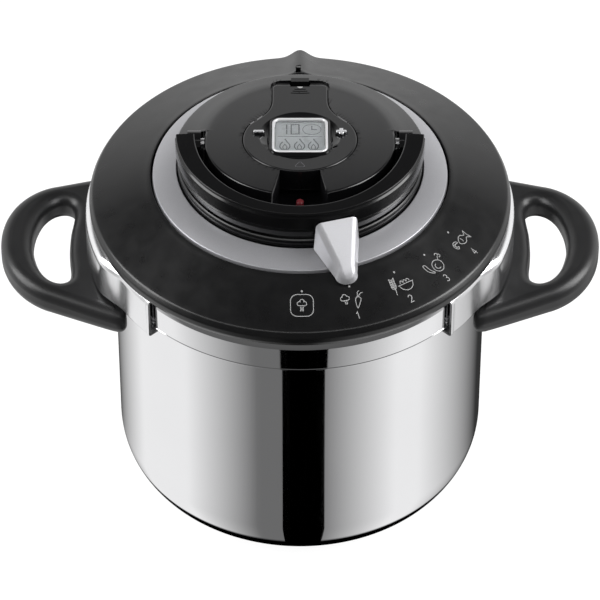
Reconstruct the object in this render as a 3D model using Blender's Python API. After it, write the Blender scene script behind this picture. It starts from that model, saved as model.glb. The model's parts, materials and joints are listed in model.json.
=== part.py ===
"""Stovetop pressure cooker with a clamp lid, a fold-down lock handle and a clip-on electronic timer.

The pan stands on Z = 0 with its axis on Z. -Y is the front, where the selector lever points.
Run it with: blender --background --python part.py
"""

import math

import bmesh
import bpy
from mathutils import Matrix, Vector

MM = 0.001
SEGMENTS = 48  # facets of the large round pieces
INNER_SEGMENTS = 32  # facets of round pieces inside
SMALL_SEGMENTS = 12  # facets of pins and screws
GAP = 0.3  # clearance between pieces that touch, in mm
UP = Vector((0, 0, 1))

# Driving dimensions, in mm. Heights are from a datum 9 mm above the surface that the pan stands on.
FOOT_Z = -9.0
PAN_R = 112.0
PAN_WALL = 1.2
PAN_CORNER = (24.0, 32.0)  # radius of the base corner, across and up
BASE_R = 88.0
BASE_THICKNESS = 6.0
PAN_RIM_Z = 184.0
FLANGE_R = 115.2

SKIRT_R = 119.4
SKIRT_FOOT_Z = 169.7
LID_TOP_Z = 191.5
LID_WALL = 1.2
SHOULDER_R = 6.0

JAW_R = 122.7
JAW_FOOT_Z = 164.5
JAW_TOP_Z = 193.7
JAW_WALL = 1.5
JAW_LIP_R = 115.6
JAW_INNER_R = 103.0  # edge of the plate on top of the lid
JAW_HALF_ANGLE = 44.0
JAW_BULGE = 6.0
JAW_BULGE_ANGLES = (25.0, 29.0)  # full bulge inside the first, none outside the second
JAW_TRAVEL = 8.95

COVER_R = 125.8
COVER_FOOT_Z = 194.5
COVER_WALL = 2.8
DOME_SLOPE = 0.4
RING_OUTER = (88.0, 218.7)  # radius and height of the selector ring's outer edge
RING_INNER = (73.2, 224.1)
RING_THICKNESS = 3.0

HUB_R = 72.5
HUB_FLOOR_Z = 203.0
HUB_WALL_TOP_Z = 229.2
CROWN_BACK_R = 75.2
CROWN_FRONT_R = 56.5
CROWN_RIM_Z = 231.5
CROWN_CENTRE_Z = 244.3
CROWN_TILT = math.radians(7.0)  # the crown is high at the front
SHOULDER_Y = 12.8  # the crown is full width behind this line

GRIP_R = 73.6
GRIP_FOOT_Z = 231.5
GRIP_TOP_Z = 250.4
GRIP_INNER_R = (65.3, 62.0)  # at the front and at the sides
PIVOT_Y = 4.0
PIVOT_Z = 237.5
LUG_X = (58.5, 66.5)
LUG_R = 7.5
PIVOT_R = 3.0
PIN_INNER_END = {"right": 42.0, "left": 49.5}  # the right pin is longer, to carry the crank

TIMER_R = 33.7
TIMER_NECK = 16.5  # half width
TIMER_NECK_END = 58.5
TIMER_DEPTH = 14.0
LCD_HALF = (16.5, 18.0)
LCD_BACK_SHIFT = 2.5

LEVER_ANGLE = 16.5
LEVER_ROOT = 12.6  # half width at the hub
SELECTOR_TURN = (-16.5, 44.5)
CAM_Z = (219.0, 220.4)
CAM_LUG = 6.0  # half angle
COVER_SCREWS = (45, 165, 315)  # angles
COVER_SCREW_R = 77.0

VALVE = (0.0, 40.0)
SAFETY_VALVE = (30.0, 49.0)
INDICATOR = (0.0, -50.0)
HANDLE_Z = (147.0, 163.5)
HANDLE_ROOT_R = 116.0
HANDLE_REACH = 180.3
HANDLE_RISE_FROM = 140.0
HANDLE_RISE = (0.07, 0.12)  # slope of the loop's underside and top beyond that

COLOURS = {
    "steel": ((0.62, 0.62, 0.63, 1), 0.12, 1.0),
    "dark_steel": ((0.35, 0.35, 0.36, 1), 0.35, 1.0),
    "black": ((0.012, 0.012, 0.013, 1), 0.32, 0.0),
    "gloss_black": ((0.006, 0.006, 0.007, 1), 0.12, 0.0),
    "bakelite": ((0.028, 0.028, 0.029, 1), 0.42, 0.0),
    "silver": ((0.42, 0.42, 0.44, 1), 0.38, 0.0),
    "chrome": ((0.75, 0.75, 0.76, 1), 0.12, 1.0),
    "lcd": ((0.36, 0.38, 0.38, 1), 0.35, 0.0),
    "window": ((0.7, 0.72, 0.74, 1), 0.05, 0.0),
    "red": ((0.45, 0.03, 0.05, 1), 0.4, 0.0),
    "silicone": ((0.55, 0.55, 0.53, 1), 0.6, 0.0),
    "board": ((0.03, 0.16, 0.07, 1), 0.5, 0.0),
}


# ---- building blocks ----


def material(kind):
    """The shared material of that kind."""
    found = bpy.data.materials.get(kind)
    if found:
        return found
    colour, roughness, metallic = COLOURS[kind]
    made = bpy.data.materials.new(kind)
    made.use_nodes = True
    shader = made.node_tree.nodes["Principled BSDF"]
    shader.inputs["Base Color"].default_value = colour
    shader.inputs["Roughness"].default_value = roughness
    shader.inputs["Metallic"].default_value = metallic
    made.diffuse_color = colour
    return made


def add(name, bm, kind, smooth=True):
    """Turns a bmesh in datum millimetres into a named object in metres, with its faces pointing out."""
    bmesh.ops.recalc_face_normals(bm, faces=bm.faces)
    bmesh.ops.translate(bm, vec=(0, 0, -FOOT_Z), verts=bm.verts)
    bmesh.ops.scale(bm, vec=(MM, MM, MM), verts=bm.verts)
    mesh = bpy.data.meshes.new(name)
    bm.to_mesh(mesh)
    bm.free()
    if smooth:
        mesh.shade_smooth()
        mesh.set_sharp_from_angle(angle=math.radians(35))
    obj = bpy.data.objects.new(name, mesh)
    obj.data.materials.append(material(kind))
    bpy.context.scene.collection.objects.link(obj)
    return obj


def circle_angles(count=SEGMENTS, shift=0.0):
    """Angles of the corners of a regular polygon, turned by shift facets."""
    return [2 * math.pi * (i + shift) / count for i in range(count)]


def arc_angles(first, last, steps):
    """Angles in radians from first to last, both in degrees."""
    return [math.radians(first + (last - first) * i / steps) for i in range(steps + 1)]


def loft(rings, closed_path=False):
    """Joins rings of equal length with quads. Without a closed path, the first and last ring are capped."""
    bm = bmesh.new()
    made = [[bm.verts.new(p) for p in ring] for ring in rings]
    pairs = list(zip(made, made[1:]))
    if closed_path:
        pairs.append((made[-1], made[0]))
    for a, b in pairs:
        for i in range(len(a)):
            j = (i + 1) % len(a)
            bm.faces.new((a[i], a[j], b[j], b[i]))
    if not closed_path:
        bm.faces.new(made[0])
        bm.faces.new(made[-1])
    return bm


def polar(radius, angle, height):
    return (radius * math.cos(angle), radius * math.sin(angle), height)


def turned(profile, angles=None, whole=True, lift=None):
    """A solid turned about Z from a closed (radius, height) profile. lift moves a point of the result."""
    angles = angles or circle_angles()
    rings = [[Vector(polar(r, a, z)) for r, z in profile] for a in angles]
    if lift:
        rings = [[lift(p) for p in ring] for ring in rings]
    bm = loft(rings, closed_path=whole)
    bmesh.ops.remove_doubles(bm, verts=bm.verts, dist=1e-5)
    return bm


def prism(outline, low, high):
    """An upright solid with that plan outline."""
    return loft([[(x, y, z) for x, y in outline] for z in (low, high)])


def block(low, high):
    (x0, y0, z0), (x1, y1, z1) = low, high
    return prism([(x0, y0), (x1, y0), (x1, y1), (x0, y1)], z0, z1)


def rod(radius, low, high, x=0.0, y=0.0, sides=SMALL_SEGMENTS):
    """An upright round bar."""
    points = [(x + radius * math.cos(a), y + radius * math.sin(a)) for a in circle_angles(sides, 0.5)]
    return prism(points, low, high)


def cross_rod(radius, x0, x1, y, z, sides=SMALL_SEGMENTS):
    """A round bar along X."""
    ring = [(y + radius * math.cos(a), z + radius * math.sin(a)) for a in circle_angles(sides)]
    return loft([[(x, v, w) for v, w in ring] for x in (x0, x1)])


def quarter(centre, radii, first, last, steps=5):
    """Points of an elliptical arc in a profile."""
    return [
        (centre[0] + radii[0] * math.cos(a), centre[1] + radii[1] * math.sin(a))
        for a in arc_angles(first, last, steps)
    ]


def bezier(p0, p1, p2, p3, steps):
    """Points of a cubic Bezier curve, without its last point."""
    points = []
    for i in range(steps):
        t = i / steps
        w = ((1 - t) ** 3, 3 * t * (1 - t) ** 2, 3 * t * t * (1 - t), t**3)
        points.append(tuple(sum(k * p[n] for k, p in zip(w, (p0, p1, p2, p3))) for n in (0, 1)))
    return points


def rounded_box(half_x, half_y, radius, centre_y=0.0, steps=4):
    """The plan outline of a rectangle with round corners."""
    points = []
    for corner, (sx, sy) in enumerate(((1, 1), (-1, 1), (-1, -1), (1, -1))):
        centre = (sx * (half_x - radius), centre_y + sy * (half_y - radius))
        points += quarter(centre, (radius, radius), 90 * corner, 90 * corner + 90, steps)
    return points


def tilted(bm):
    """Moves a piece from the timer's own flat frame, with its face at height 0, onto the tilted crown."""
    place = Matrix.Translation((0, 0, CROWN_CENTRE_Z)) @ Matrix.Rotation(-CROWN_TILT, 4, "X")
    bmesh.ops.transform(bm, matrix=place, verts=bm.verts)
    return bm


def mirrored(bm):
    """The same piece on the other side of the YZ plane."""
    bmesh.ops.scale(bm, vec=(-1, 1, 1), verts=bm.verts)
    return bm


def join(obj, bm, operation):
    """Adds a shape to an object, or cuts it away, with an exact Boolean."""
    tool = add(f"{obj.name}_{operation.lower()}_{len(obj.modifiers)}", bm, "steel", smooth=False)
    tool.hide_render = True
    tool.display_type = "WIRE"
    step = obj.modifiers.new(tool.name, "BOOLEAN")
    step.operation = operation
    step.object = tool
    step.solver = "EXACT"
    return obj


def cut(obj, bm):
    return join(obj, bm, "DIFFERENCE")


def unite(obj, bm):
    return join(obj, bm, "UNION")


# ---- the pan ----


def make_pan():
    across, up = PAN_CORNER
    base_top = FOOT_Z + BASE_THICKNESS
    floor = base_top + GAP
    centre = (PAN_R - across, floor + up)
    inner = (across - PAN_WALL, up - PAN_WALL)
    outside = quarter(centre, (across, up), -90, 0, 5)
    inside = quarter(centre, inner, 0, -90, 4)
    profile = [(0, floor)] + outside
    profile += [(PAN_R, 171.5), (FLANGE_R, 175.5), (FLANGE_R, PAN_RIM_Z)]
    profile += [(FLANGE_R - PAN_WALL, PAN_RIM_Z), (FLANGE_R - PAN_WALL, 176.0), (PAN_R - PAN_WALL, 172.0)]
    profile += inside + [(0, floor + PAN_WALL)]
    add("pan_body", turned(profile), "steel")

    chamfer = 1.5
    base = [(0, FOOT_Z), (BASE_R - chamfer, FOOT_Z), (BASE_R, FOOT_Z + chamfer)]
    base += [(BASE_R, base_top), (0, base_top)]
    add("base_plate", turned(base), "steel")


def handle_outline():
    """Plan of the right side handle: a concave root against the pan and a rounded loop end."""
    root = [polar(HANDLE_ROOT_R, a, 0)[:2] for a in arc_angles(32, -32, 10)]
    near = [(102.0, -66.0), (120.0, -59.5), (136.0, -52.8)]
    end = bezier((149, -49.2), (163, -44.8), (HANDLE_REACH, -28), (HANDLE_REACH, 0), 6)
    far = [(x, -y) for x, y in reversed(near + end)]
    return root + near + end + [(HANDLE_REACH, 0)] + far


def make_side_handle(side):
    """One bakelite side handle with its welded bracket and two screws."""
    turn = mirrored if side == "left" else (lambda bm: bm)
    low, high = HANDLE_Z
    body = prism(handle_outline(), low, high)
    everything = body.verts[:] + body.edges[:] + body.faces[:]
    start = Vector((HANDLE_RISE_FROM, 0, 0))
    bmesh.ops.bisect_plane(body, geom=everything, plane_co=start, plane_no=(1, 0, 0))
    for vert in body.verts:
        slope = HANDLE_RISE[1] if vert.co.z > low + 1 else HANDLE_RISE[0]
        vert.co.z += slope * max(0.0, vert.co.x - HANDLE_RISE_FROM)
    handle = add(f"{side}_handle", turn(body), "bakelite")
    hole = [(x + 148.7, y) for x, y in rounded_box(11.3, 36, 10)]
    cut(handle, turn(prism(hole, low - 5, high + 12)))
    tongue_x, tongue_half, tongue_z = 132.0, 26.0, (154.0, 156.5)
    slot = GAP + 0.1
    cut(
        handle,
        turn(
            block(
                (PAN_R - 10, -tongue_half - slot, tongue_z[0] - slot),
                (tongue_x + slot, tongue_half + slot, tongue_z[1] + slot),
            )
        ),
    )
    bevel = handle.modifiers.new("rounding", "BEVEL")
    bevel.width = 4.5 * MM
    bevel.segments = 2
    bevel.limit_method = "ANGLE"
    bevel.angle_limit = math.radians(60)
    handle.modifiers.move(len(handle.modifiers) - 1, 1)

    pad_low, pad_high = 149.0, 161.0
    pad = [(PAN_R + GAP, pad_low), (HANDLE_ROOT_R - 0.5, pad_low)]
    pad += [(HANDLE_ROOT_R - 0.5, pad_high), (PAN_R + GAP, pad_high)]
    bracket = add(
        f"{side}_handle_bracket", turn(turned(pad, arc_angles(-20, 20, 8), whole=False)), "dark_steel"
    )
    unite(bracket, turn(block((112.8, -tongue_half, tongue_z[0]), (tongue_x, tongue_half, tongue_z[1]))))
    for place, y in (("front", -18.0), ("back", 18.0)):
        x = 126.0
        cut(handle, turn(rod(2.4, low - 2, tongue_z[0] + 1, x, y)))
        cut(handle, turn(rod(4.8, low - 2, low + 3.2, x, y)))
        cut(bracket, turn(rod(2.4, tongue_z[0] - 2, tongue_z[1] + 2, x, y)))
        screw = add(
            f"{side}_handle_screw_{place}", turn(rod(2.0, low + 1.0, tongue_z[1], x, y)), "dark_steel"
        )
        unite(screw, turn(rod(4.2, low + 0.2, low + 2.8, x, y)))


# ---- the lid and its clamp ----


def make_lid_shell():
    inner_r = SKIRT_R - LID_WALL
    shoulder = (SKIRT_R - SHOULDER_R, LID_TOP_Z - SHOULDER_R)
    thin = SHOULDER_R - LID_WALL
    bore = 5.4
    profile = [(bore, LID_TOP_Z)]
    profile += quarter(shoulder, (SHOULDER_R, SHOULDER_R), 90, 0, 3)
    profile += [(SKIRT_R, SKIRT_FOOT_Z), (inner_r, SKIRT_FOOT_Z)]
    profile += quarter(shoulder, (thin, thin), 0, 90, 3)
    profile += [(bore, LID_TOP_Z - LID_WALL)]
    shell = add("lid_shell", turned(profile), "steel")
    for (x, y), r in ((VALVE, 5.4), (INDICATOR, 3.0), (SAFETY_VALVE, 6.4)):
        cut(shell, rod(r, 180, 200, x, y))

    seal = [(105, 184.4), (116.6, 184.4), (116.6, 187.9), (115, 189.3), (113, 189.8), (107, 189.8)]
    seal += [(107, 187.2), (105, 187.2)]
    add("lid_seal", turned(seal, circle_angles(INNER_SEGMENTS)), "silicone")


def make_cover():
    """The black cover plate, with a hump over the steam outlet at the back."""
    edge = COVER_R - 3.3
    outer_z = RING_OUTER[1] - (edge - RING_OUTER[0]) * DOME_SLOPE
    seat_r = RING_OUTER[0] + 0.8
    hole_r = 74.8
    seat_z = (215.0, 220.2)
    profile = [(seat_r, RING_OUTER[1]), (edge, outer_z), (COVER_R - 1.0, outer_z - 1.7)]
    profile += [(COVER_R, outer_z - 4.0), (COVER_R, 197.0), (COVER_R - 1.0, COVER_FOOT_Z)]
    profile += [(COVER_R - COVER_WALL, COVER_FOOT_Z), (COVER_R - COVER_WALL, outer_z - 5.0)]
    profile += [(edge - 2.5, outer_z - 2.6), (seat_r, 212.4), (hole_r, 217.6)]
    profile += [(hole_r, seat_z[1]), (seat_r, seat_z[0])]
    back = [math.radians(90 + k * 1.25) for k in range(-6, 7)]
    angles = [a for a in circle_angles() if abs(a - math.pi / 2) > math.radians(8)]

    def hump(p):
        """Raises the top face in a bell shape behind the selector ring."""
        radius = math.hypot(p.x, p.y)
        top = p.z > RING_OUTER[1] - (radius - RING_OUTER[0]) * DOME_SLOPE - 2.0
        if p.y < 0 or radius < seat_r - 0.1 or radius > COVER_R - 0.5 or not top:
            return p
        rise = 3.0 + 3.2 * (radius - seat_r) / (COVER_R - seat_r)
        return p + Vector((0, 0, rise * math.exp(-((p.x / 6.5) ** 2))))

    cover = add("lid_cover", turned(profile, sorted(angles + back), lift=hump), "black")
    cut(cover, block((-1.6, 89.5, 200), (1.6, 96.5, 240)))


def smooth_step(value, full, none):
    """1 up to full, 0 from none on, and smooth between."""
    t = min(1.0, max(0.0, (none - value) / (none - full)))
    return t * t * (3 - 2 * t)


def jaw_section(angle):
    """The jaw's C-shaped section at an angle from its middle. The middle stretch bulges outwards."""
    bulge = JAW_BULGE * smooth_step(abs(math.degrees(angle)), *JAW_BULGE_ANGLES)
    r, w = JAW_R + bulge, JAW_WALL
    top, foot = JAW_TOP_Z, JAW_FOOT_Z
    outside = [(JAW_INNER_R, top), (r - 4.5, top), (r - 1.3, top - 1.6), (r, top - 5.0)]
    outside += [(r, foot + 1.5), (r - 1.5, foot)]
    inside = [(JAW_LIP_R, foot), (JAW_LIP_R, foot + w), (r - w - 0.6, foot + w), (r - w, foot + w + 0.6)]
    inside += [(r - w, top - 5.3), (r - w - 1.0, top - 2.6), (r - 5.0, top - w), (JAW_INNER_R, top - w)]
    return outside + inside


def make_jaw(side):
    """One steel jaw with its strap, whose pin rides in the drive plate, and two rivets."""
    turn = mirrored if side == "left" else (lambda bm: bm)
    low, high = JAW_BULGE_ANGLES
    half = JAW_HALF_ANGLE
    stops = [-half, -36, -high, -27, -low, -12.5, 0, 12.5, low, 27, high, 36, half]
    between = [(a + b) / 2 for a, b in zip(stops, stops[1:])]
    angles = [math.radians(a) for a in sorted(stops + between)]
    rings = [[polar(r, a, z) for r, z in jaw_section(a)] for a in angles]
    jaw = add(f"{side}_jaw", turn(loft(rings)), "steel")
    strap_z = (JAW_TOP_Z + GAP, JAW_TOP_Z + GAP + 1.6)
    pin_x = 54.0
    outline = [(48, -6), (60, -9), (70, -12), (112, -12), (112, 12), (70, 12), (60, 9), (48, 6)]
    arm = add(f"{side}_jaw_arm", turn(prism(outline, *strap_z)), "dark_steel")
    unite(arm, turn(rod(2.0, strap_z[0] + 0.2, 209.5, pin_x, 0)))
    for place, y in (("front", -7.0), ("back", 7.0)):
        x = 107.5
        cut(jaw, turn(rod(2.2, JAW_TOP_Z - 5, JAW_TOP_Z + 5, x, y)))
        cut(arm, turn(rod(2.2, JAW_TOP_Z - 5, JAW_TOP_Z + 5, x, y)))
        rivet = add(
            f"{side}_jaw_rivet_{place}", turn(rod(1.9, JAW_TOP_Z - JAW_WALL, strap_z[1] + 1, x, y)), "steel"
        )
        unite(rivet, turn(rod(3.6, strap_z[1] + GAP, strap_z[1] + GAP + 1.3, x, y)))


def make_drive_plate():
    """The two-winged plate inside the hub. Its spiral slots push both jaws out as it turns 30 degrees.

    The tab stands in front of the crank on the right pivot pin, which pushes it towards the front.
    """
    low, high = 206.2, 208.2
    wing_r, neck_r = 68.0, 20.0
    outline = []
    for side in (0, 180):
        outline += [polar(wing_r, a, 0)[:2] for a in arc_angles(side - 8, side + 40, 8)]
        outline += [polar(neck_r, a, 0)[:2] for a in arc_angles(side + 60, side + 150, 3)]
    plate = add("drive_plate", prism(outline, low, high), "dark_steel")
    cut(plate, rod(12.5, low - 5, high + 5, sides=24))
    start, swing, reach, margin = 54.0, 30.0, 2.5, 3.0
    for side in (0, 180):
        steps = arc_angles(-margin, swing + margin, 9)
        middle = [(start + JAW_TRAVEL * math.degrees(a) / swing, a + math.radians(side)) for a in steps]
        slot = [polar(r + reach, a, 0)[:2] for r, a in middle]
        slot += [polar(r - reach, a, 0)[:2] for r, a in reversed(middle)]
        cut(plate, prism(slot, low - 5, high + 5))
    tab = [polar(r, math.radians(a), 0)[:2] for r, a in ((42, 13.5), (46, 13.5), (46, 16.0), (42, 16.0))]
    unite(plate, prism(tab, low + 0.5, 225.5))


# ---- the hub ----


def make_hub_base():
    """The chassis: a cup on a central post, slotted for the jaw pins."""
    floor_top = HUB_FLOOR_Z + 2.5
    inner = HUB_R - 3.0
    foot = LID_TOP_Z + GAP
    profile = [(4.0, foot), (14.0, foot), (14.0, HUB_FLOOR_Z), (HUB_R - 2.0, HUB_FLOOR_Z)]
    profile += [(HUB_R, HUB_FLOOR_Z + 2.0), (HUB_R, 211.5), (80.0, 211.5), (80.0, 214.2), (HUB_R, 216.8)]
    profile += [(HUB_R, HUB_WALL_TOP_Z - 3.4), (HUB_R - 0.8, HUB_WALL_TOP_Z - 3.0)]
    profile += [(HUB_R - 0.8, HUB_WALL_TOP_Z), (inner, HUB_WALL_TOP_Z), (inner, floor_top)]
    profile += [(12.0, floor_top), (12.0, 211.0), (4.0, 211.0)]
    base = add("hub_base", turned(profile, circle_angles(INNER_SEGMENTS)), "black")
    for number, angle in enumerate(COVER_SCREWS, 1):
        x, y, _ = polar(COVER_SCREW_R, math.radians(angle), 0)
        cut(base, rod(1.5, 205, 225, x, y, sides=8))
        cut(bpy.data.objects["lid_cover"], rod(1.5, 205, 217.9, x, y, sides=8))
        screw = add(f"cover_screw_{number}", rod(1.1, 209.8, 217.5, x, y, sides=8), "dark_steel")
        unite(screw, rod(2.6, 209.2, 211.2, x, y, sides=12))
    for sign in (-1, 1):
        x = sorted((sign * 51.0, sign * 66.0))
        cut(base, block((x[0], -3.0, 195), (x[1], 3.0, 206)))
    for (x, y), r in ((VALVE, 8.6), (INDICATOR, 4.9), (SAFETY_VALVE, 7.6)):
        cut(base, rod(r, 195, 208, x, y))
    cut(base, block((-5, 60, 206.5), (5, 90, 210.5)))
    front = 270 - CAM_LUG
    window = [(66, CAM_Z[0] - 0.6), (77, CAM_Z[0] - 0.6), (77, CAM_Z[1] + 0.4), (66, CAM_Z[1] + 0.4)]
    sweep = arc_angles(front + SELECTOR_TURN[0] - 1, 270 + CAM_LUG + SELECTOR_TURN[1] + 1, 12)
    cut(base, turned(window, sweep, whole=False))

    post = add("centre_bolt", rod(3.6, 187.0, 214.0), "dark_steel")
    unite(post, rod(8.0, 186.0, 190.0 - GAP, sides=6))
    nut = add("centre_nut", rod(6.5, 211.0 + GAP, 215.5, sides=6), "dark_steel")
    cut(nut, rod(3.9, 205, 220))


def crown_height(x, y):
    """Height of the crown's tilted top, which is slightly domed."""
    dome = 1.2 * max(0.0, 1 - (x * x + y * y) / 58.0**2)
    return CROWN_CENTRE_Z - 1.2 - y * math.tan(CROWN_TILT) + dome


def crown_shape():
    """The crown before it is cut: a round block with a tilted top and a sloping rim."""
    rings = []
    angles = circle_angles()
    for foot in (224.0, CROWN_RIM_Z):
        rings.append([polar(CROWN_BACK_R, a, foot) for a in angles])
    for share in (1.0, 0.6, 0.3, 0.05):
        ring = []
        for a in angles:
            back = max(0.0, math.sin(a))
            r = share * (CROWN_FRONT_R + 5.3 * back**2)
            x, y, _ = polar(r, a, 0)
            ring.append((x, y, crown_height(x, y)))
        rings.append(ring)
    return loft(rings)


def timer_outline(grow=0.0):
    """Plan of the timer: a disc with a neck towards the back."""
    r, half = TIMER_R + grow, TIMER_NECK + grow
    blend_y = 29.0 + grow * 0.3
    start = math.degrees(math.atan2(16.0, 29.5))
    disc = [polar(r, a, 0)[:2] for a in arc_angles(180 - start, 360 + start, 24)]
    right = bezier(disc[-1], (disc[-1][0] - 6, disc[-1][1] + 7), (half, blend_y), (half, 42), 5)[1:]
    neck = [(half, 42), (half, TIMER_NECK_END - 3 + grow), (half - 3, TIMER_NECK_END + grow)]
    side = right + neck
    return disc + side + [(-x, y) for x, y in reversed(side)]


def make_crown():
    """The hub's glossy top, cut for the timer, the lock handle and the pressure indicator."""
    crown = add("hub_crown", crown_shape(), "gloss_black")
    front = turned([(CROWN_FRONT_R, 226.0), (90, 226.0), (90, 270), (CROWN_FRONT_R, 270)])
    keep = block((-100, SHOULDER_Y, 200), (100, 100, 300))
    crescent = add("crown_front_cutter", front, "steel", smooth=False)
    cut(crescent, keep)
    crescent.hide_render = True
    crescent.display_type = "WIRE"
    step = crown.modifiers.new("front", "BOOLEAN")
    step.operation = "DIFFERENCE"
    step.object = crescent
    step.solver = "EXACT"
    cut(crown, turned([(68.6, 220), (95, 220), (95, 226.5), (68.6, 226.5)]))
    cut(crown, turned([(62.0, 226.4), (72.2, 226.4), (72.2, 229.6), (62.0, 229.6)]))
    cut(crown, tilted(prism(timer_outline(0.5), -TIMER_DEPTH - 0.5, 20)))
    cut(crown, rod(33.0, 220, 227.0, sides=48))
    for middle in (0, 180):
        ring = [(37.5, 220), (53.5, 220), (53.5, 237.5), (37.5, 237.5)]
        cut(crown, turned(ring, arc_angles(middle - 62, middle + 62, 24), whole=False))
        bore = (PIN_INNER_END["right"] - 1, 58.0) if middle == 0 else (-58.0, 1 - PIN_INNER_END["left"])
        cut(crown, cross_rod(PIVOT_R + 0.4, *bore, PIVOT_Y, PIVOT_Z))
    pocket = [(-13.5, -30), (-16.8, -58), (16.8, -58), (13.5, -30)]
    cut(crown, prism(pocket, 229.0, 270))
    cut(crown, rod(5.0, 220, 240, *INDICATOR))

    add("timer_catch", tilted(block((-5.4, 59.6, -6.0), (5.4, 63.6, 1.6))), "gloss_black")
    cut(crown, tilted(block((-6.2, 57.0, -7.0), (6.2, 66.2, 20))))


def make_indicator():
    """The red pressure indicator in its bush, in the pocket at the front of the crown."""
    bush = add("indicator_bush", rod(4.6, 206.0, 233.0, *INDICATOR, sides=20), "black")
    cut(bush, rod(2.7, 195, 240, *INDICATOR))
    x, y = INDICATOR
    profile = [(0, 184.5), (4.0, 184.5), (4.0, 186.3), (2.3, 187.5), (2.3, 239.2), (1.6, 240.0), (0, 240.0)]
    pin = turned(profile, circle_angles(SMALL_SEGMENTS, 0.5), lift=lambda p: p + Vector((x, y, 0)))
    add("indicator_pin", pin, "red")


def make_valves():
    """The operating valve at the back, under the timer's neck, and the safety valve beside it."""
    seat = add("valve_seat", rod(5.0, 183.0, 206.0, *VALVE, sides=20), "dark_steel")
    unite(seat, rod(8.0, LID_TOP_Z + GAP, 195.0, *VALVE, sides=20))
    cut(seat, rod(2.0, 180, 210, *VALVE))
    plug = add("valve_plug", rod(5.5, 206.4, 208.6, *VALVE, sides=20), "steel")
    unite(plug, rod(1.5, 200.0, 207.0, *VALVE, sides=12))
    unite(plug, rod(2.2, 208.0, 214.0, *VALVE, sides=12))

    safety = add("safety_valve", rod(6.0, 184.5, 200.0, *SAFETY_VALVE, sides=20), "dark_steel")
    unite(safety, rod(8.4, LID_TOP_Z + GAP, 195.0, *SAFETY_VALVE, sides=6))


def make_valve_spring():
    """The coil spring that loads the operating valve's plug, and the cap that the cam presses on."""
    turns, coil_r, wire_r, low, high = 4, 4.0, 0.55, 209.5, 216.2
    steps = turns * 10
    middle = Vector((*VALVE, 0))
    rings = []
    for i in range(steps + 1):
        a = 2 * math.pi * turns * i / steps
        out = Vector((math.cos(a), math.sin(a), 0))
        centre = middle + out * coil_r + UP * (low + (high - low) * i / steps)
        section = [out * math.cos(b) + UP * math.sin(b) for b in circle_angles(6)]
        rings.append([centre + wire_r * direction for direction in section])
    add("valve_spring", loft(rings), "steel")
    profile = [(0, 217.0), (6.0, 217.0), (6.0, 218.6), (0, 218.6)]
    add("spring_cap", turned(profile, circle_angles(20, 0.5), lift=lambda p: p + middle), "black")


def make_cam():
    """The ring inside the hub that turns with the selector. Its tongue lies over the spring cap."""
    low, high = CAM_Z
    ring = [(56.5, low), (66.5, low), (66.5, high), (56.5, high)]
    cam = add("selector_cam", turned(ring, circle_angles(INNER_SEGMENTS)), "silver")
    tongue = [(33, low), (58, low), (58, high), (33, high)]
    unite(cam, turned(tongue, arc_angles(38, 120, 16), whole=False))
    lug = [(65, low), (74.2, low), (74.2, high - 0.1), (65, high - 0.1)]
    unite(cam, turned(lug, arc_angles(270 - CAM_LUG, 270 + CAM_LUG, 4), whole=False))


# ---- the lock handle and the selector ----


def make_lock_handle():
    """The bail round the front of the hub, its pivot pins, and the crank that turns the drive plate."""
    rings = []
    foot, top = GRIP_FOOT_Z, GRIP_TOP_Z
    for a in arc_angles(-178, -2, 32):
        inner = GRIP_INNER_R[0] + (GRIP_INNER_R[1] - GRIP_INNER_R[0]) * abs(math.cos(a)) ** 2
        section = [(inner, top - 0.8), (inner + 0.8, top), (GRIP_R - 1.0, top - 0.3)]
        section += [(GRIP_R - 0.3, top - 1.2), (GRIP_R - 0.6, top - 2.2), (GRIP_R, top - 5.0)]
        section += [(GRIP_R - 0.1, foot + 6.0)]
        section += [(GRIP_R - 1.6, foot), (inner + 2.0, foot), (inner + 1.0, foot + 3.0)]
        rings.append([polar(r, a, z) for r, z in section])
    handle = add("lock_handle", loft(rings), "gloss_black")
    for side, sign in (("left", -1), ("right", 1)):
        lug = sorted((sign * LUG_X[0], sign * LUG_X[1]))
        unite(handle, cross_rod(LUG_R, lug[0], lug[1], PIVOT_Y, PIVOT_Z, sides=24))
        unite(handle, block((lug[0] + 0.2, -6.0, PIVOT_Z - 5.5), (lug[1] - 0.2, 3.0, PIVOT_Z + 5.5)))
        bore = sorted((sign * (LUG_X[0] - 2), sign * (LUG_X[1] + 1.5)))
        cut(handle, cross_rod(PIVOT_R + GAP, bore[0], bore[1], PIVOT_Y, PIVOT_Z))
        ends = sorted((sign * PIN_INNER_END[side], sign * LUG_X[1]))
        pin = add(f"{side}_pivot_pin", cross_rod(PIVOT_R, ends[0], ends[1], PIVOT_Y, PIVOT_Z), "dark_steel")
        if side == "right":
            reach, lean = 16.5, math.radians(45)
            crank = rod(1.6, -reach, 0.0)
            place = Matrix.Translation((44.2, PIVOT_Y, PIVOT_Z)) @ Matrix.Rotation(lean, 4, "X")
            bmesh.ops.transform(crank, matrix=place, verts=crank.verts)
            unite(pin, crank)


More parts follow.
